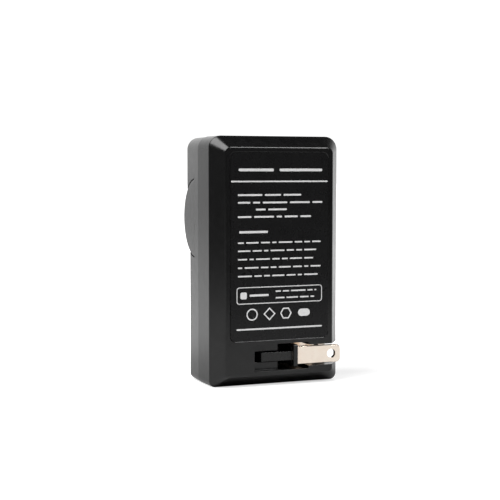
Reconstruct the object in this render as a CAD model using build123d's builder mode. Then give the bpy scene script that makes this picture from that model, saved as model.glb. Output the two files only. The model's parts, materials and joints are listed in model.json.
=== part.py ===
"""Travel charger for a camera battery, standing on its lower end with a fold-out plug in its back.

X runs to the right as seen from behind, +Y from the back face to the front, Z up. The origin is the
middle of the bounding box's bottom face. Depths are measured from the back face, in millimetres.
"""

import os
from math import atan2, cos, hypot, radians, sin, tan

from build123d import *

# Case
body_height = 87.0
body_width = 48.5
wall = 2.0
top_corner_radius = 4.5
foot_corner_radius = 2.3
face_top_radius = 2.3
face_foot_radius = 1.2
foot_trim = 0.02
bevel_width = 4.1
bevel_depth = 5.4
edge_softness = 0.7
back_draft = 0.35
front_draft = 0.55
parting_step = 0.2
parting_softness = 0.25
front_edge_radius = 1.0
toe_radius = 3.5
lip_height = 1.2
lip_thickness = 0.9

# Gaps between pieces
fit_gap = 0.1
swing_gap = 0.3
pin_gap = 0.05
solder_gap = 0.9

# Plug
blade_spacing = 12.7
blade_width = 6.35
blade_thickness = 1.5
blade_length = 16.85
blade_tip_radius = 1.6
blade_edge_chamfer = 0.2
blade_hole_diameter = 3.3
blade_hole_from_tip = 3.6
blade_inset = 0.8
blade_tip_inset = 0.45
tail_width = 1.6
tail_thickness = 0.8
tail_lift = 0.25
eyelet_radius = 2.0
flange_face = 6.95
flange_length = 15.6
flange_thickness = 1.5
flange_height = 7.8
flange_corner_radius = 0.6
web_thickness = 3.1
web_radius = 9.2
web_edge = 6.65
web_end = 6.5
hub_radius = 2.7
pin_radius = 1.2

# Plug well
plug_height = 10.1
well_height = 9.4
well_wall = 1.6
well_end_gap = 0.65
well_corner_radius = 0.4
slot_height = 7.4
shelf_gap = 0.2
shelf_thickness = 1.5
shelf_slot_height = 3.8
shelf_reach = 0.3

# Label
label_margin = 1.8
label_gap = 1.55
label_radius = 2.0
label_thickness = 0.15
label_recess = 0.2
label_seat_slope = 45.0

# Battery bay
rail_width = 5.1
rail_height = 5.8
contact_block_height = 8.95
contact_block_length = 19.0
bay_bottom = 9.0
bay_corner_radius = 1.5
plate_thickness = 2.0
plate_rib_height = 0.6
plate_rib_width = 1.6
ear_radius = 14.0
ear_height = 12.85
ear_below_block = 9.8
ear_edge_radius = 0.6
ear_rib_height = 1.0
ear_rib_width = 1.2
ear_rib_length = 10.0
neck_wall = 1.0
neck_inset = 3.0

# Battery contacts
contact_pitch = 6.0
contact_width = 2.4
contact_thickness = 0.4
contact_lift = 3.7
contact_reach = 2.2
contact_foot_height = 5.5
contact_bend = 0.8

# Mains springs
spring_width = 3.0
spring_thickness = 0.4
spring_overlap = 3.0
spring_bend = 0.7

# Circuit board and charge light
board_thickness = 1.6
board_edge_gap = 2.2
board_above_well = 1.6
screw_radius = 0.95
screw_length = 3.6
screw_head_radius = 1.8
screw_head_height = 1.3
boss_radius = 2.4
screw_edge_distance = 3.0
lower_screw_height = 6.0
upper_screw_below_block = 7.0
led_radius = 1.5
led_rim = 0.3
led_height = 4.6
led_dome = 1.2
led_from_top = 8.5
pipe_flange = 0.8

# Board components: sizes as bought
mains_can_radius = 4.0
mains_can_height = 11.5
output_can_radius = 3.15
output_can_height = 10.0
can_edge = 0.5
can_neck_depth = 0.3
can_neck_height = 2.0
can_neck_width = 0.6
choke_radius = 3.2
choke_height = 7.0
choke_flange = 1.2
choke_groove = 0.7
transistor_radius = 2.3
transistor_lift = 2.5
core_width = 13.0
core_length = 12.6
core_thickness = 5.8
core_leg = 3.4
core_yoke = 1.8
bobbin_height = 11.0
bobbin_radius = 0.85
disc_radius = 3.4
disc_thickness = 3.0
disc_edge = 0.8
disc_lift = 1.5
fuse_radius = 1.5
fuse_length = 6.0
diode_radius = 1.3
diode_length = 4.5
axial_edge = 0.4
axial_lift = 0.8
bridge_size = (4.6, 6.4, 2.4)
control_size = (3.9, 4.9, 1.5)
coupler_size = (4.6, 4.6, 3.0)
chip_lift = 0.3
chip_edge = 0.3
lead_width = 0.6

# Board components: columns from the sides of the board, rows above its lower edge or below its upper edge
left_column = 8.7
fuse_column = 15.2
bridge_column = 19.7
transformer_column = 18.2
right_column = 10.9
coupler_column = 6.6
diode_column = 17.0
choke_row = 6.5
fuse_row = 7.0
bridge_row = 16.0
transistor_row = 17.0
mains_row = 18.0
coupler_row = 29.0
transformer_row = 31.0
control_row = 31.0
disc_row = 40.0
output_row = 8.0
diode_row = 9.0

# Derived places and sizes
pivot_depth = blade_inset + blade_thickness / 2 + blade_spacing / 2
plug_x = body_width / 2 - blade_tip_inset - blade_length - flange_face
flange_back = flange_face - flange_thickness
swing_radius = hypot(flange_face, flange_length / 2)
well_left = plug_x - web_radius - swing_gap
well_right = plug_x + swing_radius + well_end_gap
well_width = well_right - well_left
well_x = (well_left + well_right) / 2
well_bottom = plug_height - well_height / 2
well_top = plug_height + well_height / 2
well_depth = pivot_depth + flange_length / 2 + swing_gap
slot_length = body_width / 2 + wall - well_right
slot_x = well_right + slot_length / 2
slot_depth = pivot_depth + blade_spacing / 2 + blade_thickness / 2 + swing_gap
shelf_depth = pivot_depth - flange_back + shelf_gap
bearing_bottom = well_bottom - well_wall
bearing_top = well_top + well_wall
bearing_radius = pin_radius + pin_gap

back_depth = well_depth
board_front = back_depth + board_thickness
bay_floor = board_front + solder_gap + wall
lower_depth = bay_floor + rail_height
upper_depth = bay_floor + contact_block_height
total_depth = bay_floor + ear_height
ear_depth = total_depth - ear_radius
pivot_y = pivot_depth - total_depth / 2

face_width = body_width - 2 * bevel_width
face_height = body_height - 2 * bevel_width
parting_width = body_width + 2 * back_draft
front_width = parting_width - 2 * parting_step
front_end_width = front_width - 2 * front_draft
front_lean = atan2(front_draft, total_depth - back_depth)
front_top = body_height - parting_step
across = (-parting_width, parting_width)
middle_height = body_height / 2
cavity_width = parting_width - 2 * wall
cavity_back_width = body_width - 2 * wall
cavity_height = body_height - 2 * wall
cavity_corner_radius = top_corner_radius - wall
bevel_slope = hypot(bevel_width, bevel_depth)
cavity_face_inset = wall * (bevel_slope - bevel_width) / bevel_depth
cavity_bevel_depth = bevel_depth + wall * (bevel_slope - bevel_depth) / bevel_width
front_ceiling = front_top - wall

bay_width = front_width - 2 * rail_width
bay_top = body_height - contact_block_length
bay_length = bay_top - bay_bottom
bay_middle = (bay_top + bay_bottom) / 2
ear_middle = bay_top - ear_below_block
ear_face_x = front_width / 2 - front_draft * (ear_depth - back_depth) / (total_depth - back_depth)
step_height = (ear_middle + bay_top) / 2
contact_depth = bay_floor + contact_lift

board_bottom = bearing_top + board_above_well
board_top = front_ceiling - board_edge_gap
board_width = front_width - 2 * wall - board_edge_gap
board_length = board_top - board_bottom
screw_x = board_width / 2 - screw_edge_distance
screw_places = [
    (-screw_x, board_bottom + lower_screw_height),
    (screw_x, bay_top - upper_screw_below_block),
]
led_place = (0, body_height - led_from_top)

label_width = face_width - 2 * label_margin
label_top = body_height - bevel_width - label_margin
label_bottom = well_top + label_gap
label_height = label_top - label_bottom
label_seat_margin = fit_gap + label_recess * tan(radians(label_seat_slope))


def y_at(depth):
    """Y of a point at a depth below the back face."""
    return depth - total_depth / 2


def depth_plane(depth):
    """Plane parallel to the back face, with X to the right, Z up and its normal out of the back."""
    return Plane.XZ.offset(total_depth / 2 - depth)


def block(x_span, depth_span, z_span, mode=Mode.ADD):
    """Straight-sided block between two values of X, depth and Z, in the part being built."""
    x_low, x_high = x_span
    depth_low, depth_high = depth_span
    z_low, z_high = z_span
    middle = ((x_low + x_high) / 2, y_at((depth_low + depth_high) / 2), (z_low + z_high) / 2)
    with Locations(middle):
        Box(x_high - x_low, depth_high - depth_low, z_high - z_low, mode=mode)


def case_outline(depth, width, z_span, top_radius, foot_radius):
    """Outline of the case at a depth, with one radius at its upper corners and one at its lower corners."""
    z_low, z_high = z_span
    with BuildSketch(depth_plane(depth)) as outline:
        with Locations((0, (z_low + z_high) / 2)):
            Rectangle(width, z_high - z_low)
        fillet(outline.vertices().group_by(Axis.Y)[0], foot_radius)
        fillet(outline.vertices().group_by(Axis.Y)[-1], top_radius)
    return outline.sketch


def rim_edges(shell, depth):
    """Edges of a shell that lie at a depth."""
    return shell.edges().filter_by_position(Axis.Y, y_at(depth) - fit_gap, y_at(depth) + fit_gap)


# Space inside the back shell: an even wall within the bevel, and the walls of the well left standing
with BuildPart() as back_cavity:
    with BuildSketch(depth_plane(wall)):
        with Locations((0, middle_height)):
            RectangleRounded(
                face_width - 2 * cavity_face_inset,
                face_height - 2 * cavity_face_inset,
                face_foot_radius,
            )
    with BuildSketch(depth_plane(cavity_bevel_depth)):
        with Locations((0, middle_height)):
            RectangleRounded(cavity_back_width, cavity_height, cavity_corner_radius)
    loft()
    with BuildSketch(depth_plane(cavity_bevel_depth)):
        with Locations((0, middle_height)):
            RectangleRounded(cavity_back_width, cavity_height, cavity_corner_radius)
    with BuildSketch(depth_plane(back_depth)):
        with Locations((0, middle_height)):
            RectangleRounded(cavity_width, cavity_height, cavity_corner_radius)
    loft()
    with BuildSketch(depth_plane(0)):
        with Locations((well_x, plug_height)):
            Rectangle(well_width + 2 * well_wall, well_height + 2 * well_wall)
        with Locations((slot_x, plug_height)):
            Rectangle(slot_length, slot_height + 2 * well_wall)
    extrude(amount=-back_depth, mode=Mode.SUBTRACT)

# Back shell: a bevelled tray with the plug well and its bearings
with BuildPart() as back_shell:
    face_z = (bevel_width, body_height - bevel_width)
    body_z = (-foot_trim, body_height)
    back_face = case_outline(0, face_width, face_z, face_top_radius, face_foot_radius)
    bevel_end = case_outline(bevel_depth, body_width, body_z, top_corner_radius, foot_corner_radius)
    parting = case_outline(back_depth, parting_width, body_z, top_corner_radius, foot_corner_radius)
    loft([back_face, bevel_end], ruled=True)
    loft([bevel_end, parting], ruled=True)
    fillet(rim_edges(back_shell, 0) + rim_edges(back_shell, bevel_depth), edge_softness)
    fillet(rim_edges(back_shell, back_depth), parting_softness)

    # Foot faced flat, so that the case stands on a true plane
    block(across, (0, back_depth), (-wall, 0), Mode.SUBTRACT)

    add(back_cavity.part, mode=Mode.SUBTRACT)

    # Lip that enters the front shell
    with BuildSketch(depth_plane(back_depth)):
        with Locations((0, middle_height)):
            RectangleRounded(
                cavity_width + 2 * lip_thickness,
                cavity_height + 2 * lip_thickness,
                cavity_corner_radius + lip_thickness,
            )
            RectangleRounded(cavity_width, cavity_height, cavity_corner_radius, mode=Mode.SUBTRACT)
    extrude(amount=-lip_height)

    # Well, and the slot for the blades that leaves it through the right side
    with BuildSketch(depth_plane(0)):
        with Locations((well_x, plug_height)):
            RectangleRounded(well_width, well_height, well_corner_radius)
    extrude(amount=-back_depth, mode=Mode.SUBTRACT)
    with BuildSketch(depth_plane(0)):
        with Locations((slot_x, plug_height)):
            Rectangle(slot_length, slot_height)
    extrude(amount=-slot_depth, mode=Mode.SUBTRACT)

    # Shelves that stop the opened flange, above and below the slot for the web
    for side in (-1, 1):
        shelf_z = sorted((plug_height + side * shelf_slot_height / 2, plug_height + side * well_height / 2))
        block((well_left, plug_x + shelf_reach), (shelf_depth, shelf_depth + shelf_thickness), shelf_z)

    # Bearing slots, open to the inside so that the plug drops in
    with BuildSketch(Plane.XY.offset(bearing_bottom)):
        with Locations((plug_x, pivot_y)):
            Circle(bearing_radius)
        with Locations((plug_x, (pivot_y + y_at(back_depth)) / 2)):
            Rectangle(2 * bearing_radius, back_depth - pivot_depth)
    extrude(amount=bearing_top - bearing_bottom, mode=Mode.SUBTRACT)

    # Seat of the label
    with BuildSketch(depth_plane(0)):
        with Locations((0, (label_top + label_bottom) / 2)):
            RectangleRounded(
                label_width + 2 * label_seat_margin,
                label_height + 2 * label_seat_margin,
                label_radius + label_seat_margin,
            )
    extrude(amount=-label_recess, taper=label_seat_slope, mode=Mode.SUBTRACT)


# Label
with BuildPart() as label:
    with BuildSketch(depth_plane(label_recess)):
        with Locations((0, (label_top + label_bottom) / 2)):
            RectangleRounded(label_width, label_height, label_radius)
    extrude(amount=label_thickness)


def ear_profile(radius, side, lift=0.0):
    """Outline of an ear on the leaning side of the case: the part of a disc above the floor of the bay."""
    leaning_side = Plane(
        origin=(side * ear_face_x, y_at(ear_depth), ear_middle),
        x_dir=(-side * sin(front_lean), cos(front_lean), 0),
        z_dir=(side * cos(front_lean), sin(front_lean), 0),
    )
    with BuildSketch(leaning_side.offset(lift)) as profile:
        Circle(radius)
        with Locations((bay_floor - ear_depth - radius, 0)):
            Rectangle(2 * radius, 4 * radius, mode=Mode.SUBTRACT)
    return profile.sketch


# Front shell: low rails round the battery bay and a higher contact block at the top
with BuildPart() as front_shell:
    front_z = (0, front_top)
    front_top_radius = top_corner_radius - parting_step
    front_foot_radius = foot_corner_radius - parting_step
    front_start = case_outline(back_depth, front_width, front_z, front_top_radius, front_foot_radius)
    front_end = case_outline(total_depth, front_end_width, front_z, front_top_radius, front_foot_radius)
    loft([front_start, front_end], ruled=True)
    block(across, (upper_depth, total_depth), (0, body_height), Mode.SUBTRACT)
    block(across, (lower_depth, total_depth), (0, step_height), Mode.SUBTRACT)
    fillet(rim_edges(front_shell, upper_depth).sort_by(Axis.Z)[1:], front_edge_radius)
    fillet(rim_edges(front_shell, lower_depth).sort_by(Axis.Z)[:-1], front_edge_radius)
    with BuildSketch(Plane.YZ):
        with Locations((y_at(lower_depth - toe_radius / 2), toe_radius / 2)):
            Rectangle(toe_radius, toe_radius)
        with Locations((y_at(lower_depth - toe_radius), toe_radius)):
            Circle(toe_radius, mode=Mode.SUBTRACT)
    extrude(amount=parting_width, both=True, mode=Mode.SUBTRACT)

    # Battery bay, with the side openings that take the ears
    with BuildSketch(depth_plane(bay_floor)):
        with Locations((0, bay_middle)):
            RectangleRounded(bay_width, bay_length, bay_corner_radius)
    extrude(amount=bay_floor - total_depth, mode=Mode.SUBTRACT)
    for side in (-1, 1):
        opening = ear_profile(ear_radius + fit_gap, side, wall)
        extrude(opening, amount=-(rail_width + wall), mode=Mode.SUBTRACT)

    # Hollows behind the bay, in the contact block and below the bay
    with BuildSketch(depth_plane(back_depth)):
        with Locations((0, front_top / 2)):
            RectangleRounded(front_width - 2 * wall, front_top - 2 * wall, cavity_corner_radius)
    extrude(amount=back_depth - (bay_floor - wall), mode=Mode.SUBTRACT)
    block_hollow = bay_width / 2 - wall
    hollow_x = (-block_hollow, block_hollow)
    block(hollow_x, (back_depth, upper_depth - wall), (bay_top + wall, front_ceiling), Mode.SUBTRACT)
    block(hollow_x, (back_depth, lower_depth - wall), (wall, bay_bottom - wall), Mode.SUBTRACT)
    with BuildSketch(depth_plane(back_depth)):
        with Locations((0, middle_height)):
            RectangleRounded(
                cavity_width + 2 * (lip_thickness + fit_gap),
                cavity_height + 2 * (lip_thickness + fit_gap),
                cavity_corner_radius + lip_thickness + fit_gap,
            )
    extrude(amount=-(lip_height + fit_gap), mode=Mode.SUBTRACT)

    # Slots for the battery contacts, in the lower wall of the block
    for place in (-1, 0, 1):
        slot_half = contact_width / 2 + 2 * fit_gap
        slot_middle = place * contact_pitch
        block(
            (slot_middle - slot_half, slot_middle + slot_half),
            (contact_depth - contact_thickness, contact_depth + contact_thickness),
            (bay_top - wall, bay_top + 2 * wall),
            Mode.SUBTRACT,
        )

    # Bosses under the board, ribs that press on the keeper
    with BuildSketch(depth_plane(board_front)):
        with Locations(*screw_places):
            Circle(boss_radius)
    extrude(amount=-(solder_gap + wall / 2))
    for rib_x in (well_left, well_right - well_wall):
        block((rib_x, rib_x + well_wall), (board_front, bay_floor - wall / 2), (well_bottom, well_top))
    with BuildSketch(depth_plane(board_front)):
        with Locations(*screw_places):
            Circle(screw_radius + pin_gap)
    extrude(amount=-(screw_length - board_thickness + fit_gap), mode=Mode.SUBTRACT)

    # Window of the charge light
    with BuildSketch(depth_plane(upper_depth)):
        with Locations(led_place):
            Circle(led_radius + fit_gap)
    extrude(amount=2 * wall, mode=Mode.SUBTRACT)


# Battery plate: a floor in the bay, an ear at each side of the case
with BuildPart() as battery_plate:
    with BuildSketch(depth_plane(bay_floor)):
        with Locations((0, bay_middle)):
            RectangleRounded(bay_width - 2 * fit_gap, bay_length - 2 * fit_gap, bay_corner_radius - fit_gap)
    extrude(amount=-plate_thickness)
    ear_inner = bay_width / 2 + fit_gap
    for side in (-1, 1):
        extrude(ear_profile(ear_radius, side), amount=ear_inner - ear_face_x)
    ear_rims = battery_plate.edges().filter_by(GeomType.CIRCLE).group_by(SortBy.RADIUS)[-1]
    fillet(ear_rims, ear_edge_radius)
    neck_end = ear_face_x - neck_wall
    neck_z = (ear_middle - ear_radius + neck_inset, bay_top - wall)
    block((-neck_end, neck_end), (bay_floor, bay_floor + plate_thickness), neck_z)

    # Guide ribs on the ears, runners on the floor
    rib_depth = (upper_depth + total_depth) / 2 - ear_rib_width
    for side in (-1, 1):
        rib_x = sorted((side * (ear_inner - ear_rib_height), side * (ear_inner + wall)))
        rib_z = (ear_middle - ear_rib_length / 2, ear_middle + ear_rib_length / 2)
        block(rib_x, (rib_depth - ear_rib_width, rib_depth), rib_z)
        runner = side * bay_width / 4
        block(
            (runner - plate_rib_width / 2, runner + plate_rib_width / 2),
            (bay_floor + plate_thickness / 2, bay_floor + plate_thickness + plate_rib_height),
            (bay_bottom + wall, bay_top - wall),
        )


# Blades: a flat strip with a rounded tip and a hole, and a tail that runs to the pivot inside the carrier
pivot_axis = Axis((plug_x, pivot_y, plug_height), (1, 0, 0))
blade_tip = plug_x + flange_face + blade_length
blade_root = plug_x + flange_back

with BuildPart() as line_blade:
    with BuildSketch(depth_plane(blade_inset)):
        with Locations(((blade_root + blade_tip) / 2, plug_height)):
            strip = Rectangle(blade_tip - blade_root, blade_width)
        fillet(strip.vertices().group_by(Axis.X)[-1], blade_tip_radius)
        with Locations((blade_tip - blade_hole_from_tip, plug_height)):
            Circle(blade_hole_diameter / 2, mode=Mode.SUBTRACT)
    extrude(amount=-blade_thickness)
    broad_faces = line_blade.faces().filter_by(Axis.Y)
    chamfer([face.outer_wire().edges() for face in broad_faces], blade_edge_chamfer)
    with BuildSketch(Plane.XY.offset(plug_height + tail_lift)):
        with BuildLine():
            Line((blade_root + flange_thickness, y_at(blade_inset + blade_thickness)), (plug_x, pivot_y))
        trace(line_width=tail_width)
        with Locations((plug_x, pivot_y)):
            Circle(eyelet_radius)
            Circle(pin_radius, mode=Mode.SUBTRACT)
    extrude(amount=tail_thickness)

with BuildPart() as neutral_blade:
    add(line_blade.part.rotate(pivot_axis, 180))


# Pivot pins
with BuildPart() as upper_pivot_pin:
    with BuildSketch(Plane.XY.offset(plug_height + tail_lift)):
        with Locations((plug_x, pivot_y)):
            Circle(pin_radius)
    extrude(amount=bearing_top - fit_gap - plug_height - tail_lift)

with BuildPart() as lower_pivot_pin:
    add(upper_pivot_pin.part.rotate(pivot_axis, 180))


# Carrier: flange, web and hub, moulded round the blades and pins
with BuildPart() as plug_carrier:
    with BuildSketch(Plane.YZ.offset(blade_root)):
        with Locations((pivot_y, plug_height)):
            RectangleRounded(flange_length, flange_height, flange_corner_radius)
    extrude(amount=flange_thickness)
    with BuildSketch(Plane.XY.offset(plug_height - web_thickness / 2)):
        with Locations((plug_x, pivot_y)):
            Circle(web_radius)
        with Locations((plug_x, pivot_y + web_radius / 2)):
            Rectangle(2 * web_radius, web_radius, mode=Mode.SUBTRACT)
        with Locations((plug_x, pivot_y)):
            Circle(flange_length / 2)
        with Locations((plug_x + (flange_back - web_end) / 2, pivot_y)):
            Rectangle(flange_back + web_end, 2 * web_edge, mode=Mode.INTERSECT)
    extrude(amount=web_thickness)
    with BuildSketch(Plane.XY.offset(well_bottom + swing_gap)):
        with Locations((plug_x, pivot_y)):
            Circle(hub_radius)
    extrude(amount=well_height - 2 * swing_gap)
    for insert in (line_blade, neutral_blade, upper_pivot_pin, lower_pivot_pin):
        add(insert.part, mode=Mode.SUBTRACT)


# Keeper: closes the well from the inside, its tongues complete the bearings
with BuildPart() as plug_keeper:
    with BuildSketch(depth_plane(back_depth)):
        with Locations((well_x, plug_height)):
            RectangleRounded(well_width + 2 * well_wall, well_height + 2 * well_wall, well_wall / 2)
    extrude(amount=-board_thickness)
    fillet(plug_keeper.edges().filter_by(Axis.X).group_by(Axis.Z)[0].sort_by(Axis.Y)[-1], spring_bend)
    for tongue_bottom in (bearing_bottom, well_top):
        with BuildSketch(Plane.XY.offset(tongue_bottom)):
            with Locations((plug_x, (pivot_y + y_at(back_depth)) / 2)):
                Rectangle(2 * (bearing_radius - pin_gap), back_depth - pivot_depth)
            with Locations((plug_x, pivot_y)):
                Circle(bearing_radius, mode=Mode.SUBTRACT)
        extrude(amount=well_wall)


def bent_strip(points, bend, thickness, x_middle, width):
    """Flat strip bent along points given as depth and height, width along X."""
    with BuildPart() as strip_part:
        with BuildSketch(Plane.YZ.offset(x_middle)):
            with BuildLine():
                FilletPolyline(*[(y_at(depth), height) for depth, height in points], radius=bend)
            trace(line_width=thickness)
        extrude(amount=width / 2, both=True)
    return strip_part


# Mains springs: each lies over a bearing and ends on the board
spring_start = pivot_depth - pin_radius - spring_thickness
upper_level = bearing_top + spring_thickness / 2
lower_level = bearing_bottom - spring_thickness / 2
upper_leg = back_depth - spring_thickness / 2
lower_leg = board_front + spring_thickness / 2
spring_end = board_bottom + spring_overlap
line_spring = bent_strip(
    [(spring_start, upper_level), (upper_leg, upper_level), (upper_leg, spring_end)],
    spring_bend,
    spring_thickness,
    plug_x,
    spring_width,
)
neutral_spring = bent_strip(
    [(spring_start, lower_level), (lower_leg, lower_level), (lower_leg, spring_end)],
    spring_bend,
    spring_thickness,
    plug_x,
    spring_width,
)


# Circuit board
with BuildPart() as circuit_board:
    with BuildSketch(depth_plane(back_depth)):
        with Locations((0, (board_bottom + board_top) / 2)):
            Rectangle(board_width, board_length)
        with Locations(*screw_places):
            Circle(screw_radius + 2 * fit_gap, mode=Mode.SUBTRACT)
    extrude(amount=-board_thickness)

with BuildPart() as board_screws:
    with BuildSketch(depth_plane(back_depth)):
        with Locations(*screw_places):
            Circle(screw_head_radius)
    extrude(amount=screw_head_height)
    with BuildSketch(depth_plane(back_depth)):
        with Locations(*screw_places):
            Circle(screw_radius)
    extrude(amount=-screw_length)


# Battery contacts, from the front of the board through the block into the bay
contact_foot = bay_top + contact_foot_height
contact_route = [
    (board_front, contact_foot),
    (contact_depth, contact_foot),
    (contact_depth, bay_top - contact_reach),
]
contact_names = ("negative_contact", "sense_contact", "positive_contact")
contacts = {
    name: bent_strip(contact_route, contact_bend, contact_thickness, place * contact_pitch, contact_width)
    for name, place in zip(contact_names, (-1, 0, 1))
}


# Charge light and its window
with BuildPart() as charge_led:
    with BuildSketch(depth_plane(board_front)):
        with Locations(led_place):
            Circle(led_radius + led_rim)
    extrude(amount=-2 * led_rim)
    with BuildSketch(depth_plane(board_front)):
        with Locations(led_place):
            Circle(led_radius)
    extrude(amount=-led_height)
    fillet(charge_led.faces().sort_by(Axis.Y)[-1].edges(), led_dome)

with BuildPart() as light_pipe:
    with BuildSketch(depth_plane(upper_depth)):
        with Locations(led_place):
            Circle(led_radius)
    extrude(amount=upper_depth - board_front - led_height - swing_gap)
    with BuildSketch(depth_plane(upper_depth - wall)):
        with Locations(led_place):
            Circle(led_radius + pipe_flange)
    extrude(amount=pipe_flange)


def can_capacitor(place, radius, height):
    """Electrolytic capacitor standing on the back of the board, with a crimped neck."""
    with BuildPart() as can:
        with BuildSketch(depth_plane(back_depth)):
            with Locations(place):
                Circle(radius)
        extrude(amount=height)
        chamfer(can.faces().sort_by(Axis.Y)[0].edges(), can_edge)
        with BuildSketch(depth_plane(back_depth - can_neck_height)):
            with Locations(place):
                Circle(radius)
                Circle(radius - can_neck_depth, mode=Mode.SUBTRACT)
        extrude(amount=can_neck_width, mode=Mode.SUBTRACT)
    return can


def axial_part(place, radius, length):
    """Round body lying along X above the board, on leads that are bent down to it."""
    x, z = place
    body_depth = back_depth - radius - axial_lift
    lead_x = length / 2 + radius
    with BuildPart() as axial:
        with BuildSketch(Plane.XY.offset(z)):
            with BuildLine():
                FilletPolyline(
                    (x - lead_x, y_at(back_depth)),
                    (x - lead_x, y_at(body_depth)),
                    (x + lead_x, y_at(body_depth)),
                    (x + lead_x, y_at(back_depth)),
                    radius=lead_width,
                )
            trace(line_width=lead_width)
        extrude(amount=lead_width / 2, both=True)
        with BuildSketch(Plane.YZ.offset(x - length / 2)):
            with Locations((y_at(body_depth), z)):
                Circle(radius)
        extrude(amount=length)
        chamfer(axial.edges().filter_by(GeomType.CIRCLE).group_by(SortBy.RADIUS)[-1], axial_edge)
    return axial


def chip(place, size, leads):
    """Moulded package with a row of leads along each long side, standing on the board."""
    x, z = place
    width, length, height = size
    top = back_depth - chip_lift - height
    with BuildPart() as package:
        block(
            (x - width / 2, x + width / 2),
            (top, back_depth - chip_lift),
            (z - length / 2, z + length / 2),
        )
        chamfer(package.faces().sort_by(Axis.Y)[0].edges(), chip_edge)
        pitch = length / leads
        for side in (-1, 1):
            lead_x = sorted((x + side * width / 2, x + side * (width / 2 + lead_width)))
            for number in range(leads):
                lead_z = z - length / 2 + (number + 0.5) * pitch
                lead_z_span = (lead_z - lead_width / 2, lead_z + lead_width / 2)
                block(lead_x, (top + height / 2, back_depth), lead_z_span)
    return package


board_left = -board_width / 2
board_right = board_width / 2

# Mains side of the board
fuse_resistor = axial_part((board_left + fuse_column, board_bottom + fuse_row), fuse_radius, fuse_length)
mains_capacitor = can_capacitor(
    (board_left + left_column, board_bottom + mains_row), mains_can_radius, mains_can_height
)
bridge_rectifier = chip((board_left + bridge_column, board_bottom + bridge_row), bridge_size, 2)
control_chip = chip((board_left + left_column, board_bottom + control_row), control_size, 4)

choke_place = (board_right - right_column, board_bottom + choke_row)
with BuildPart() as line_choke:
    with BuildSketch(depth_plane(back_depth)):
        with Locations(choke_place):
            Circle(choke_radius)
    extrude(amount=choke_height)
    with BuildSketch(depth_plane(back_depth - choke_flange)):
        with Locations(choke_place):
            Circle(choke_radius)
            Circle(choke_radius - choke_groove, mode=Mode.SUBTRACT)
    extrude(amount=choke_height - 2 * choke_flange, mode=Mode.SUBTRACT)

transistor_place = (board_right - right_column, board_bottom + transistor_row)
with BuildPart() as switching_transistor:
    with BuildSketch(depth_plane(back_depth - transistor_lift)):
        with Locations(transistor_place):
            Circle(transistor_radius)
        with Locations((transistor_place[0] + transistor_radius * 3 / 2, transistor_place[1])):
            Rectangle(2 * transistor_radius, 2 * transistor_radius, mode=Mode.SUBTRACT)
    extrude(amount=2 * transistor_radius)
    with BuildSketch(depth_plane(back_depth)):
        with Locations(transistor_place):
            with GridLocations(0, 2 * lead_width, 1, 3):
                Rectangle(lead_width, lead_width)
    extrude(amount=transistor_lift)


# Transformer: two E cores face to face, and a wound bobbin on their middle leg
transformer_place = (board_right - transformer_column, board_bottom + transformer_row)
transformer_x, transformer_z = transformer_place
core_depth = back_depth - bobbin_height / 2
with BuildPart() as transformer_core:
    with BuildSketch(depth_plane(core_depth - core_thickness / 2)):
        with Locations(transformer_place):
            Rectangle(core_width, core_length)
            with GridLocations(core_width / 2, 0, 2, 1):
                Rectangle(
                    core_width / 2 - core_leg,
                    core_length - 2 * core_yoke,
                    mode=Mode.SUBTRACT,
                )
    extrude(amount=-core_thickness)

with BuildPart() as transformer_winding:
    with BuildSketch(depth_plane(back_depth)):
        with Locations(transformer_place):
            RectangleRounded(
                core_width - core_leg - 2 * fit_gap,
                core_length - 2 * core_yoke - 2 * fit_gap,
                bobbin_radius,
            )
    extrude(amount=bobbin_height)
    block(
        (transformer_x - core_leg / 2 - fit_gap, transformer_x + core_leg / 2 + fit_gap),
        (core_depth - core_thickness / 2 - fit_gap, core_depth + core_thickness / 2 + fit_gap),
        (transformer_z - core_length, transformer_z + core_length),
        Mode.SUBTRACT,
    )


# Output side of the board
optocoupler = chip((board_right - coupler_column, board_bottom + coupler_row), coupler_size, 2)
output_capacitor = can_capacitor(
    (board_left + left_column, board_top - output_row), output_can_radius, output_can_height
)
output_diode = axial_part((board_right - diode_column, board_top - diode_row), diode_radius, diode_length)

disc_x = board_left + left_column
disc_z = board_bottom + disc_row
with BuildPart() as safety_capacitor:
    with BuildSketch(Plane.XY.offset(disc_z - disc_thickness / 2)):
        with Locations((disc_x, y_at(back_depth - disc_lift - disc_radius))):
            Circle(disc_radius)
    extrude(amount=disc_thickness)
    chamfer(safety_capacitor.edges().filter_by(GeomType.CIRCLE), disc_edge)
    for lead_x in (disc_x - disc_radius / 2, disc_x + disc_radius / 2):
        block(
            (lead_x - lead_width / 2, lead_x + lead_width / 2),
            (back_depth - disc_lift - disc_radius / 2, back_depth),
            (disc_z - lead_width / 2, disc_z + lead_width / 2),
        )


pieces = {
    "back_shell": back_shell,
    "front_shell": front_shell,
    "battery_plate": battery_plate,
    "label": label,
    "light_pipe": light_pipe,
    "plug_keeper": plug_keeper,
    "line_spring": line_spring,
    "neutral_spring": neutral_spring,
    "circuit_board": circuit_board,
    "board_screws": board_screws,
    "fuse_resistor": fuse_resistor,
    "line_choke": line_choke,
    "bridge_rectifier": bridge_rectifier,
    "mains_capacitor": mains_capacitor,
    "switching_transistor": switching_transistor,
    "control_chip": control_chip,
    "transformer_core": transformer_core,
    "transformer_winding": transformer_winding,
    "safety_capacitor": safety_capacitor,
    "optocoupler": optocoupler,
    "output_diode": output_diode,
    "output_capacitor": output_capacitor,
    "charge_led": charge_led,
    "plug_carrier": plug_carrier,
    "line_blade": line_blade,
    "neutral_blade": neutral_blade,
    "upper_pivot_pin": upper_pivot_pin,
    "lower_pivot_pin": lower_pivot_pin,
    **contacts,
}
os.makedirs("parts", exist_ok=True)
for name, piece in pieces.items():
    piece.part.label = name
    export_step(piece.part, f"parts/{name}.step")
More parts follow.
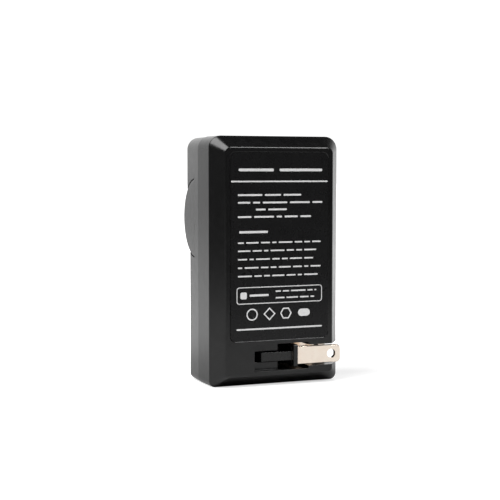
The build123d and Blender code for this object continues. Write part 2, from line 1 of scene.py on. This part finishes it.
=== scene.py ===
"""Looks of the travel charger: finishes, label print, floor, light and camera, in metres."""

import json
from itertools import cycle
from math import cos, pi, radians, sin

import bmesh
import bpy
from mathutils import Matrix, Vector


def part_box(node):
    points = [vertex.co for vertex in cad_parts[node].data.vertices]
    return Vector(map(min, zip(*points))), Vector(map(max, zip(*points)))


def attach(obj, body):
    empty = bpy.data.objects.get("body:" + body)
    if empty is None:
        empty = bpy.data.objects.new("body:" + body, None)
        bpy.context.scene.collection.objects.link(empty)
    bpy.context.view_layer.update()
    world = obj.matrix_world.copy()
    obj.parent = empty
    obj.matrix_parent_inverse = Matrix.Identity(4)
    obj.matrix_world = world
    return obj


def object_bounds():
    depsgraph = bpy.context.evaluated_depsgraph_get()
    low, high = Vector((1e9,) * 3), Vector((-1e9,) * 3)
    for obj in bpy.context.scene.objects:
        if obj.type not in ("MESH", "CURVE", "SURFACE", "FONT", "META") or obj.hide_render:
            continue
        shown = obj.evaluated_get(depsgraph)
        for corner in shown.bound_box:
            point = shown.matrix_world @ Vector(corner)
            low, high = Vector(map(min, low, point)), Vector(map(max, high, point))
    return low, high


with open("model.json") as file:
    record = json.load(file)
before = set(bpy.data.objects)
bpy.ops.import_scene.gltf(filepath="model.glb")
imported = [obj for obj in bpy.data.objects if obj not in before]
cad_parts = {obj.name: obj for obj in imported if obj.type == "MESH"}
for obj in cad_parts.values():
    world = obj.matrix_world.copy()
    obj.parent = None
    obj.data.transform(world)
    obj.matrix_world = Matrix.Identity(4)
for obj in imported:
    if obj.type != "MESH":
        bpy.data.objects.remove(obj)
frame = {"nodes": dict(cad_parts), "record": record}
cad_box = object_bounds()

MM = 0.001

# Edges of the solids that turn by more than this stay sharp
SHARP_ANGLE = radians(28)

# Camera: where it stands from the middle of the back face's lower edge, how it is turned, and its lens
CAMERA_PLACE = Vector((-161.8, -374.6, 74.8)) * MM
CAMERA_YAW = radians(21.90)
CAMERA_PITCH = radians(3.83)
CAMERA_LENS = 84.88
CAMERA_CLIP = 0.01

# Floor: half its width, which way and over which stretch it lights up, and its full glow from left to right
FLOOR_HALF = 6.0
FLOOR_SIDE = (0.25, 0.97, 0.0)
FLOOR_RAMP = (0.0, 0.1)
FLOOR_GLOW = (0.54, 1.2)
FLOOR_GLOW_REACH = (0.08, 0.4)

# Room: which way and over which stretch it lights up, and its full glow
ROOM_SIDE = (0.35, 0.94, 0.0)
ROOM_RAMP = (0.54, 0.8)
ROOM_GLOW = 1.2

# Dim front of the room: its glow at the horizon and higher up, and the stretch between
FRONT_GLOW = (0.22, 0.01)
FRONT_RISE = (0.0, 0.5)

# Dark cards: inner edges of the left and the front one, back end of the left one, far ends, and height
CARD_LEFT = -0.30
CARD_FRONT = -0.2
CARD_BACK = 0.4
CARD_FAR = 4.0
CARD_LIFT = 0.0005

# Overexposure that only the camera sees, a painted glow: of the floor, weakest at the shadow's middle and
# stronger outward, which paints shade there on top of the cast shadow, and of the backdrop
SHADOW_MIDDLE = (0.035, 0.02, 0.0)
SHADOW_REACH = (0.02, 0.13)
FLOOR_WHITE = (0.44, 1.1)
BACKDROP_WHITE = 1.1

# Soft boxes: direction from the object, width across and radiance
BOX_DISTANCE = 1.0
SOFTBOXES = {
    "key_left": ((-0.54, -0.05, 0.84), 0.9, 6.8),
    "top_right": ((0.37, -0.5, 0.78), 0.45, 11.0),
}

# Label print, in millimetres, with the share of a bar's height that its corner radius takes
INK_THICKNESS = 0.012
PRINT_MARGIN = 2.2
RULE_MARGIN = 0.2
BAR_ROUNDNESS = 0.35
CORNER_STEPS = 4
RING_SIDES = 24

# Noise: the values between which most of it lies, and its stretch along an axis where metal was drawn
NOISE_LOW = 0.3
NOISE_HIGH = 0.7
EVEN = (1, 1, 1)
ALONG_BLADE = (30, 1, 1)
ALONG_HEIGHT = (1, 1, 30)

# Sockets of a mix node for colours, which share their names with those for numbers
MIX_FACTOR = 0
MIX_FIRST = 6
MIX_SECOND = 7
MIX_RESULT = 2


def grey(level):
    """Neutral colour."""
    return (level, level, level)


# Looks of the material slots: two tones, a range of roughness, and sizes in millimetres
CASE_BLACK = dict(
    dark=(0.0024, 0.0024, 0.0025), light=(0.0033, 0.0033, 0.0035), roughness=(0.21, 0.27), edge=0.25
)
MOULDED = {
    "case_plastic": dict(CASE_BLACK, grain=0.22),
    "plate_plastic": dict(CASE_BLACK, grain=0.25),
    "carrier_plastic": dict(
        dark=grey(0.004), light=grey(0.0055), roughness=(0.24, 0.3), edge=0.3, grain=0.5
    ),
}
METALS = {
    "plated_blade": dict(
        dark=(0.96, 0.83, 0.715), light=(1.0, 0.895, 0.78), roughness=(0.1, 0.18), stretch=ALONG_BLADE
    ),
    "pin_brass": dict(
        dark=(0.6, 0.45, 0.2), light=(0.75, 0.58, 0.3), roughness=(0.2, 0.32), stretch=ALONG_HEIGHT
    ),
    "spring_brass": dict(
        dark=(0.66, 0.5, 0.25), light=(0.78, 0.62, 0.34), roughness=(0.2, 0.35), stretch=ALONG_HEIGHT
    ),
    "gilt_contact": dict(
        dark=(0.8, 0.56, 0.22), light=(0.9, 0.68, 0.32), roughness=(0.14, 0.26), stretch=ALONG_HEIGHT
    ),
    "screw_steel": dict(
        dark=(0.5, 0.5, 0.52), light=(0.64, 0.64, 0.66), roughness=(0.25, 0.4), stretch=EVEN
    ),
}
COATED = {
    "clear_plastic": dict(
        dark=(0.72, 0.78, 0.74), light=(0.86, 0.9, 0.87), roughness=(0.22, 0.32), grain=0.4, depth=0.004,
        Transmission_Weight=0.75, IOR=1.49,
    ),
    "board_laminate": dict(
        dark=(0.3, 0.2, 0.08), light=(0.42, 0.3, 0.14), roughness=(0.4, 0.55), grain=0.5, depth=0.01
    ),
    "chip_black": dict(
        dark=grey(0.016), light=grey(0.026), roughness=(0.5, 0.6), grain=0.15, depth=0.01
    ),
    "can_aluminium": dict(
        dark=(0.02, 0.028, 0.07), light=(0.03, 0.04, 0.1), roughness=(0.25, 0.35), grain=0.6, depth=0.006
    ),
    "ferrite": dict(
        dark=(0.04, 0.04, 0.043), light=(0.075, 0.075, 0.08), roughness=(0.5, 0.7), grain=0.2, depth=0.02
    ),
    "glazed_ceramic": dict(
        dark=(0.03, 0.1, 0.3), light=(0.05, 0.15, 0.4), roughness=(0.12, 0.22), grain=1.0, depth=0.02
    ),
}


class Nodes:
    """A node tree built by short calls. An input takes a plain value or the output of another node."""

    def __init__(self, tree, coordinates):
        self.tree = tree
        self.place = self.add("ShaderNodeTexCoord").outputs[coordinates]

    def put(self, value, socket):
        """Gives an input its value, or links it to an output."""
        if isinstance(value, bpy.types.NodeSocket):
            self.tree.links.new(value, socket)
        else:
            socket.default_value = value

    def add(self, kind, inputs=None, **settings):
        """New node with the inputs, by name or number, and the settings given."""
        node = self.tree.nodes.new(kind)
        for name, value in settings.items():
            setattr(node, name, value)
        for key, value in (inputs or {}).items():
            self.put(value, node.inputs[key])
        return node

    def span(self, value, low, high, start=NOISE_LOW, end=NOISE_HIGH):
        """Maps a value from start..end to low..high."""
        inputs = {"Value": value, "From Min": start, "From Max": end, "To Min": low, "To Max": high}
        return self.add("ShaderNodeMapRange", inputs).outputs["Result"]

    def along(self, direction):
        """How far the place lies along a direction."""
        inputs = {0: self.place, 1: direction}
        return self.add("ShaderNodeVectorMath", inputs, operation="DOT_PRODUCT").outputs["Value"]

    def away_from(self, point):
        """How far the place lies from a point."""
        inputs = {0: self.place, 1: point}
        return self.add("ShaderNodeVectorMath", inputs, operation="DISTANCE").outputs["Value"]

    def axis(self, name):
        """The place's X, Y or Z."""
        return self.add("ShaderNodeSeparateXYZ", {"Vector": self.place}).outputs[name]

    def by_ray(self, others, camera):
        """One value for rays from the camera and another for all other rays, for the stage alone."""
        ray = self.add("ShaderNodeLightPath").outputs["Is Camera Ray"]
        return self.add("ShaderNodeMix", {"Factor": ray, "A": others, "B": camera}).outputs["Result"]


class Finish(Nodes):
    """A procedural material: a principled shader and the nodes that feed it."""

    def __init__(self, name, **sockets):
        self.material = bpy.data.materials.new(name)
        self.material.use_nodes = True
        super().__init__(self.material.node_tree, "Object")
        self.shader = self.tree.nodes["Principled BSDF"]
        self.feed(**sockets)

    def feed(self, **sockets):
        """Gives the shader's sockets their values, with a socket's spaces written as underscores."""
        for name, value in sockets.items():
            self.put(value, self.shader.inputs[name.replace("_", " ")])

    def noise(self, grain, detail=3.0, stretch=EVEN):
        """Noise with a grain of about that many millimetres, made longer along the stretched axis."""
        inputs = {"Vector": self.place, "Scale": [1 / share for share in stretch]}
        mapping = self.add("ShaderNodeMapping", inputs)
        inputs = {"Vector": mapping.outputs["Vector"], "Scale": 1 / (grain * MM), "Detail": detail}
        return self.add("ShaderNodeTexNoise", inputs).outputs["Fac"]

    def between(self, value, first, second):
        """Colour that goes from first to second with a noise."""
        inputs = {MIX_FACTOR: self.span(value, 0, 1), MIX_FIRST: (*first, 1), MIX_SECOND: (*second, 1)}
        return self.add("ShaderNodeMix", inputs, data_type="RGBA").outputs[MIX_RESULT]

    def soft_edges(self, radius):
        """Normal that rounds sharp edges to a radius in millimetres."""
        return self.add("ShaderNodeBevel", {"Radius": radius * MM}, samples=8).outputs["Normal"]

    def bump(self, height, depth, normal=None):
        """Normal of a relief that is depth millimetres deep, on top of another normal."""
        inputs = {"Height": height, "Distance": depth * MM}
        if normal:
            inputs["Normal"] = normal
        return self.add("ShaderNodeBump", inputs).outputs["Normal"]


def moulded(slot, dark, light, roughness, edge, grain):
    """Moulded plastic: a fine spark texture, slow unevenness from the mould, rounded edges."""
    finish = Finish(slot)
    slow = finish.noise(grain=7.0)
    normal = finish.bump(slow, depth=0.002, normal=finish.soft_edges(edge))
    finish.feed(
        Base_Color=finish.between(slow, dark, light),
        Roughness=finish.span(finish.noise(grain=2.5, detail=5.0), *roughness),
        Normal=finish.bump(finish.noise(grain, detail=2.0), depth=0.002, normal=normal),
    )
    return finish.material


def drawn_metal(slot, dark, light, roughness, stretch):
    """Plated or rolled metal: fine lines along the stretched axis, and patches of faint tarnish."""
    finish = Finish(slot, Metallic=1.0)
    lines = finish.noise(grain=0.12, stretch=stretch)
    normal = finish.bump(finish.noise(grain=1.6), depth=0.0008, normal=finish.soft_edges(radius=0.08))
    finish.feed(
        Base_Color=finish.between(finish.noise(grain=2.2, detail=5.0), dark, light),
        Roughness=finish.span(lines, *roughness),
        Normal=finish.bump(lines, depth=0.0015, normal=normal),
    )
    return finish.material


def coated(slot, dark, light, roughness, grain, depth, **sockets):
    """Plain coated or sintered surface with an even grain and larger patches of gloss."""
    finish = Finish(slot, **sockets)
    texture = finish.noise(grain, detail=4.0)
    patches = finish.noise(grain=4 * grain)
    finish.feed(
        Base_Color=finish.between(texture, dark, light),
        Roughness=finish.span(patches, *roughness),
        Normal=finish.bump(texture, depth),
    )
    return finish.material


def wound_tape():
    """Taped winding: yellow film in turns across the bobbin."""
    finish = Finish("winding_copper")
    inputs = {"Vector": finish.place, "Scale": 400, "Distortion": 0.6}
    turns = finish.add("ShaderNodeTexWave", inputs, bands_direction="Z").outputs["Fac"]
    finish.feed(
        Base_Color=finish.between(finish.noise(grain=1.5), (0.55, 0.36, 0.03), (0.75, 0.55, 0.08)),
        Roughness=finish.span(finish.noise(grain=0.8), 0.25, 0.4),
        Normal=finish.bump(turns, depth=0.05),
    )
    return finish.material


def label_film():
    """Satin black film with a faint orange peel and a few dull patches."""
    finish = Finish("label_film", Specular_IOR_Level=0.27)
    tones = (0.0068, 0.0068, 0.0071), (0.0086, 0.0086, 0.0089)
    finish.feed(
        Base_Color=finish.between(finish.noise(grain=5.0), *tones),
        Roughness=finish.span(finish.noise(grain=3.0, detail=6.0), 0.25, 0.3),
        Normal=finish.bump(finish.noise(grain=0.7, detail=2.0), depth=0.002),
    )
    return finish.material


def print_ink():
    """White ink, a little thin in places."""
    finish = Finish("print_ink")
    finish.feed(
        Base_Color=finish.between(finish.noise(grain=0.35, detail=4.0), grey(0.78), grey(0.9)),
        Roughness=finish.span(finish.noise(grain=1.2), 0.45, 0.6),
        Normal=finish.bump(finish.noise(grain=0.2, detail=2.0), depth=0.003),
    )
    return finish.material


def make_finishes():
    """One material for each material slot of the record."""
    finishes = {"label_film": label_film(), "winding_copper": wound_tape()}
    for make, looks in ((moulded, MOULDED), (drawn_metal, METALS), (coated, COATED)):
        for slot, look in looks.items():
            finishes[slot] = make(slot, **look)
    return finishes


def dress_nodes(finishes):
    """Gives every CAD node its slot's finish and smooth shading between its sharp edges."""
    for subpart in frame["record"]["subparts"]:
        mesh = frame["nodes"][subpart["node"]].data
        mesh.materials.clear()
        mesh.materials.append(finishes[subpart["material_slot"]])
        mesh.shade_smooth()
        mesh.set_sharp_from_angle(angle=SHARP_ANGLE)


def new_object(name, data):
    """New object in the scene."""
    made = bpy.data.objects.new(name, data)
    bpy.context.scene.collection.objects.link(made)
    return made


# Outlines of the print, in millimetres across from the label's middle and down from its top edge
def rounded_outline(across, down, width, height, radius):
    """Rectangle with round corners about a middle point."""
    points = []
    for corner, (side, fall) in enumerate(((1, 1), (-1, 1), (-1, -1), (1, -1))):
        centre_across = across + side * (width / 2 - radius)
        centre_down = down + fall * (height / 2 - radius)
        for step in range(CORNER_STEPS + 1):
            angle = (corner + step / CORNER_STEPS) * pi / 2
            points.append((centre_across + radius * cos(angle), centre_down + radius * sin(angle)))
    return points


def regular_outline(across, down, radius, sides):
    """Regular polygon about a middle point."""
    angles = [2 * pi * number / sides for number in range(sides)]
    return [(across + radius * cos(angle), down + radius * sin(angle)) for angle in angles]


class Print:
    """Ink on the face of the label, gathered in one mesh of thin closed solids."""

    def __init__(self, low, high):
        self.mesh = bmesh.new()
        self.levels = (low.y, low.y - INK_THICKNESS * MM)
        self.middle = (low.x + high.x) / 2
        self.top = high.z
        self.half = (high.x - low.x) / MM / 2
        self.edge = self.half - PRINT_MARGIN

    def ring_of(self, outline, y):
        """Vertices of an outline at one depth."""
        places = [(self.middle + across * MM, y, self.top - down * MM) for across, down in outline]
        return [self.mesh.verts.new(place) for place in places]

    def walls(self, back, front):
        """Faces between two rings with the same number of vertices."""
        for number in range(len(back)):
            self.mesh.faces.new((back[number - 1], back[number], front[number], front[number - 1]))

    def field(self, outline):
        """Filled shape."""
        back, front = [self.ring_of(outline, y) for y in self.levels]
        self.mesh.faces.new(front)
        self.mesh.faces.new(back[::-1])
        self.walls(back, front)

    def line(self, outer, inner):
        """Closed line between two outlines with the same number of points."""
        back, front = [(self.ring_of(outer, y), self.ring_of(inner, y)) for y in self.levels]
        self.walls(back[0], front[0])
        self.walls(front[1], back[1])
        self.walls(front[0], front[1])
        self.walls(back[1], back[0])

    def bar(self, left, right, down, height):
        """Bar with round corners from one side to another."""
        width = right - left
        radius = BAR_ROUNDNESS * min(height, width)
        self.field(rounded_outline((left + right) / 2, down, width, height, radius))

    def words(self, left, right, down, height, lengths, gap):
        """Row of bars like the words of a line, of lengths that repeat until the line is full."""
        start = left
        for length in cycle(lengths):
            end = min(start + length, right)
            self.bar(start, end, down, height)
            start = end + gap
            if right - start <= height:
                return

    def piece(self, name, material):
        """Object made of all the ink."""
        bmesh.ops.recalc_face_normals(self.mesh, faces=self.mesh.faces)
        data = bpy.data.meshes.new(name)
        self.mesh.to_mesh(data)
        self.mesh.free()
        data.materials.append(material)
        return new_object(name, data)


def print_title(ink):
    """Two bars over a rule that crosses the label."""
    indent = 0.8 - ink.edge
    ink.words(indent, ink.edge, down=5.9, height=0.95, lengths=(13.0, 16.2), gap=2.2)
    rule_end = ink.half - RULE_MARGIN
    ink.bar(-rule_end, rule_end, down=9.85, height=0.5)


def print_ratings(ink):
    """Four lines of ratings, each with its two ends, its place and the lengths of its words."""
    indent = 0.5 - ink.edge
    for left, right, down, lengths in (
        (indent, 8.0, 14.5, (9.0, 6.0)),
        (indent, ink.edge, 17.1, (4.6, 2.6, 9.2, 7.6)),
        (-9.0, 3.5, 19.5, (3.6, 7.0)),
        (indent, 11.8, 22.0, (5.0, 7.4, 2.0)),
    ):
        ink.words(left, right, down, height=0.62, lengths=lengths, gap=1.0)


def print_paragraph(ink):
    """Heading over five lines whose right ends differ."""
    heading = 1.0 - ink.edge
    ink.bar(heading, heading + 10.6, down=27.2, height=0.8)
    indent = 0.5 - ink.edge
    lengths = (2.2, 4.6, 3.4, 1.6, 5.2, 2.8)
    for number, down in enumerate((30.9, 33.7, 36.6, 39.5, 42.4)):
        right = ink.edge - 0.6 - number % 3
        turned = lengths[number:] + lengths[:number]
        ink.words(indent, right, down, height=0.52, lengths=turned, gap=0.85)


def print_note(ink):
    """Framed note: a square and a bar beside two short lines."""
    middle = 49.1
    width = 2 * ink.edge
    height = 5.9
    radius = 1.0
    line = 0.3
    ink.line(
        rounded_outline(0, middle, width, height, radius),
        rounded_outline(0, middle, width - 2 * line, height - 2 * line, radius - line),
    )
    ink.field(rounded_outline(2.6 - ink.edge, middle, width=2.4, height=2.4, radius=0.6))
    ink.bar(4.8 - ink.edge, -4.2, middle, height=0.75)
    ink.words(-1.6, ink.edge - 2.2, middle - 1.2, height=0.5, lengths=(2.0, 2.4, 5.6), gap=0.7)
    ink.words(-1.6, ink.edge - 3.0, middle + 1.1, height=0.5, lengths=(3.4, 4.4), gap=0.7)


def print_marks(ink):
    """Ring, diamond, hexagon and lozenge in a row over the lower rule."""
    row = 55.7
    for across, sides, outer, inner in (
        (-10.4, RING_SIDES, 2.1, 1.65),
        (-3.9, 4, 2.3, 1.7),
        (2.3, 6, 2.2, 1.7),
    ):
        ink.line(regular_outline(across, row, outer, sides), regular_outline(across, row, inner, sides))
    ink.field(rounded_outline(9.2, row, width=4.6, height=2.6, radius=1.3))
    ink.bar(-ink.edge, ink.edge, down=60.8, height=0.55)


def make_label_print():
    """Plain bars, rules and shapes in the places where such a label has its print."""
    low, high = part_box("label")
    ink = Print(low, high)
    for block in (print_title, print_ratings, print_paragraph, print_note, print_marks):
        block(ink)
    piece = ink.piece("label_print", print_ink())
    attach(piece, "housing")


def plane(name, x_span, y_span, z, material):
    """Flat rectangle that belongs to the stage."""
    (x_low, x_high), (y_low, y_high) = x_span, y_span
    corners = [(x_low, y_low, z), (x_high, y_low, z), (x_high, y_high, z), (x_low, y_high, z)]
    data = bpy.data.meshes.new(name)
    data.from_pydata(corners, [], [(0, 1, 2, 3)])
    data.materials.append(material)
    sheet = new_object(name, data)
    return sheet


def make_floor():
    """White table with a painted glow that lights up behind the object, and that the camera sees
    overexposed, less so about the shadow's middle, where the weaker glow paints the floor darker.
    """
    white = Finish("floor_white", Roughness=0.6, Emission_Color=(1, 1, 1, 1))
    full_glow = white.span(white.axis("X"), *FLOOR_GLOW, *FLOOR_GLOW_REACH)
    glow = white.span(white.along(FLOOR_SIDE), 0, full_glow, *FLOOR_RAMP)
    # Painted shade: the glow the camera sees is weakest about the shadow's middle, which darkens the floor
    # there beyond the cast shadow
    seen = white.span(white.away_from(SHADOW_MIDDLE), *FLOOR_WHITE, *SHADOW_REACH)
    white.feed(
        Base_Color=white.between(white.noise(grain=40.0), grey(0.58), grey(0.6)),
        Emission_Strength=white.by_ray(glow, seen),
    )
    plane("floor", (-FLOOR_HALF, FLOOR_HALF), (-FLOOR_HALF, FLOOR_HALF), 0, white.material)


def make_cards():
    """Dark cards on the left and near sides of the floor, for reflections and not for the camera."""
    black = Finish("card_black", Base_Color=(*grey(0.06), 1), Roughness=0.9)
    for name, x_span, y_span in (
        ("card_left", (-CARD_FAR, CARD_LEFT), (-CARD_FAR, CARD_BACK)),
        ("card_front", (CARD_LEFT, CARD_FAR), (-CARD_FAR, CARD_FRONT)),
    ):
        card = plane(name, x_span, y_span, CARD_LIFT, black.material)
        card.visible_camera = False
        card.visible_shadow = False


def softbox(name, place, aim, size, radiance):
    """Round light of that brightness, which looks at a point and doesn't show to the camera."""
    data = bpy.data.lights.new(name, "AREA")
    data.shape = "DISK"
    data.size = size
    data.energy = radiance * (pi * size / 2) ** 2
    lamp = new_object(name, data)
    lamp.location = place
    lamp.rotation_euler = (aim - place).to_track_quat("-Z", "Y").to_euler()
    lamp.visible_camera = False


def make_light():
    """Large soft boxes round the object, none of them in the camera's view."""
    low, high = cad_box
    middle = (Vector(low) + Vector(high)) / 2
    for name, (direction, size, radiance) in SOFTBOXES.items():
        softbox(name, middle + BOX_DISTANCE * Vector(direction).normalized(), middle, size, radiance)


def make_world():
    """White for the camera, and for everything else a room that is bright only behind the object."""
    world = bpy.data.worlds.new("studio")
    bpy.context.scene.world = world
    world.use_nodes = True
    nodes = Nodes(world.node_tree, "Generated")
    front = nodes.span(nodes.axis("Z"), *FRONT_GLOW, *FRONT_RISE)
    room = nodes.span(nodes.along(ROOM_SIDE), front, ROOM_GLOW, *ROOM_RAMP)
    background = world.node_tree.nodes["Background"]
    nodes.put((1, 1, 1, 1), background.inputs["Color"])
    nodes.put(nodes.by_ray(room, BACKDROP_WHITE), background.inputs["Strength"])


def make_camera():
    """Camera at the photograph's viewing angle."""
    data = bpy.data.cameras.new("camera")
    data.lens = CAMERA_LENS
    data.clip_start = CAMERA_CLIP
    camera = new_object("camera", data)
    camera.location = CAMERA_PLACE + Vector((0, cad_box[0][1], 0))
    camera.rotation_euler = (pi / 2 - CAMERA_PITCH, 0, -CAMERA_YAW)
    bpy.context.scene.camera = camera


dress_nodes(make_finishes())
make_label_print()
make_floor()
make_cards()
make_light()
make_world()
make_camera()
bpy.context.scene.view_settings.view_transform = "Standard"
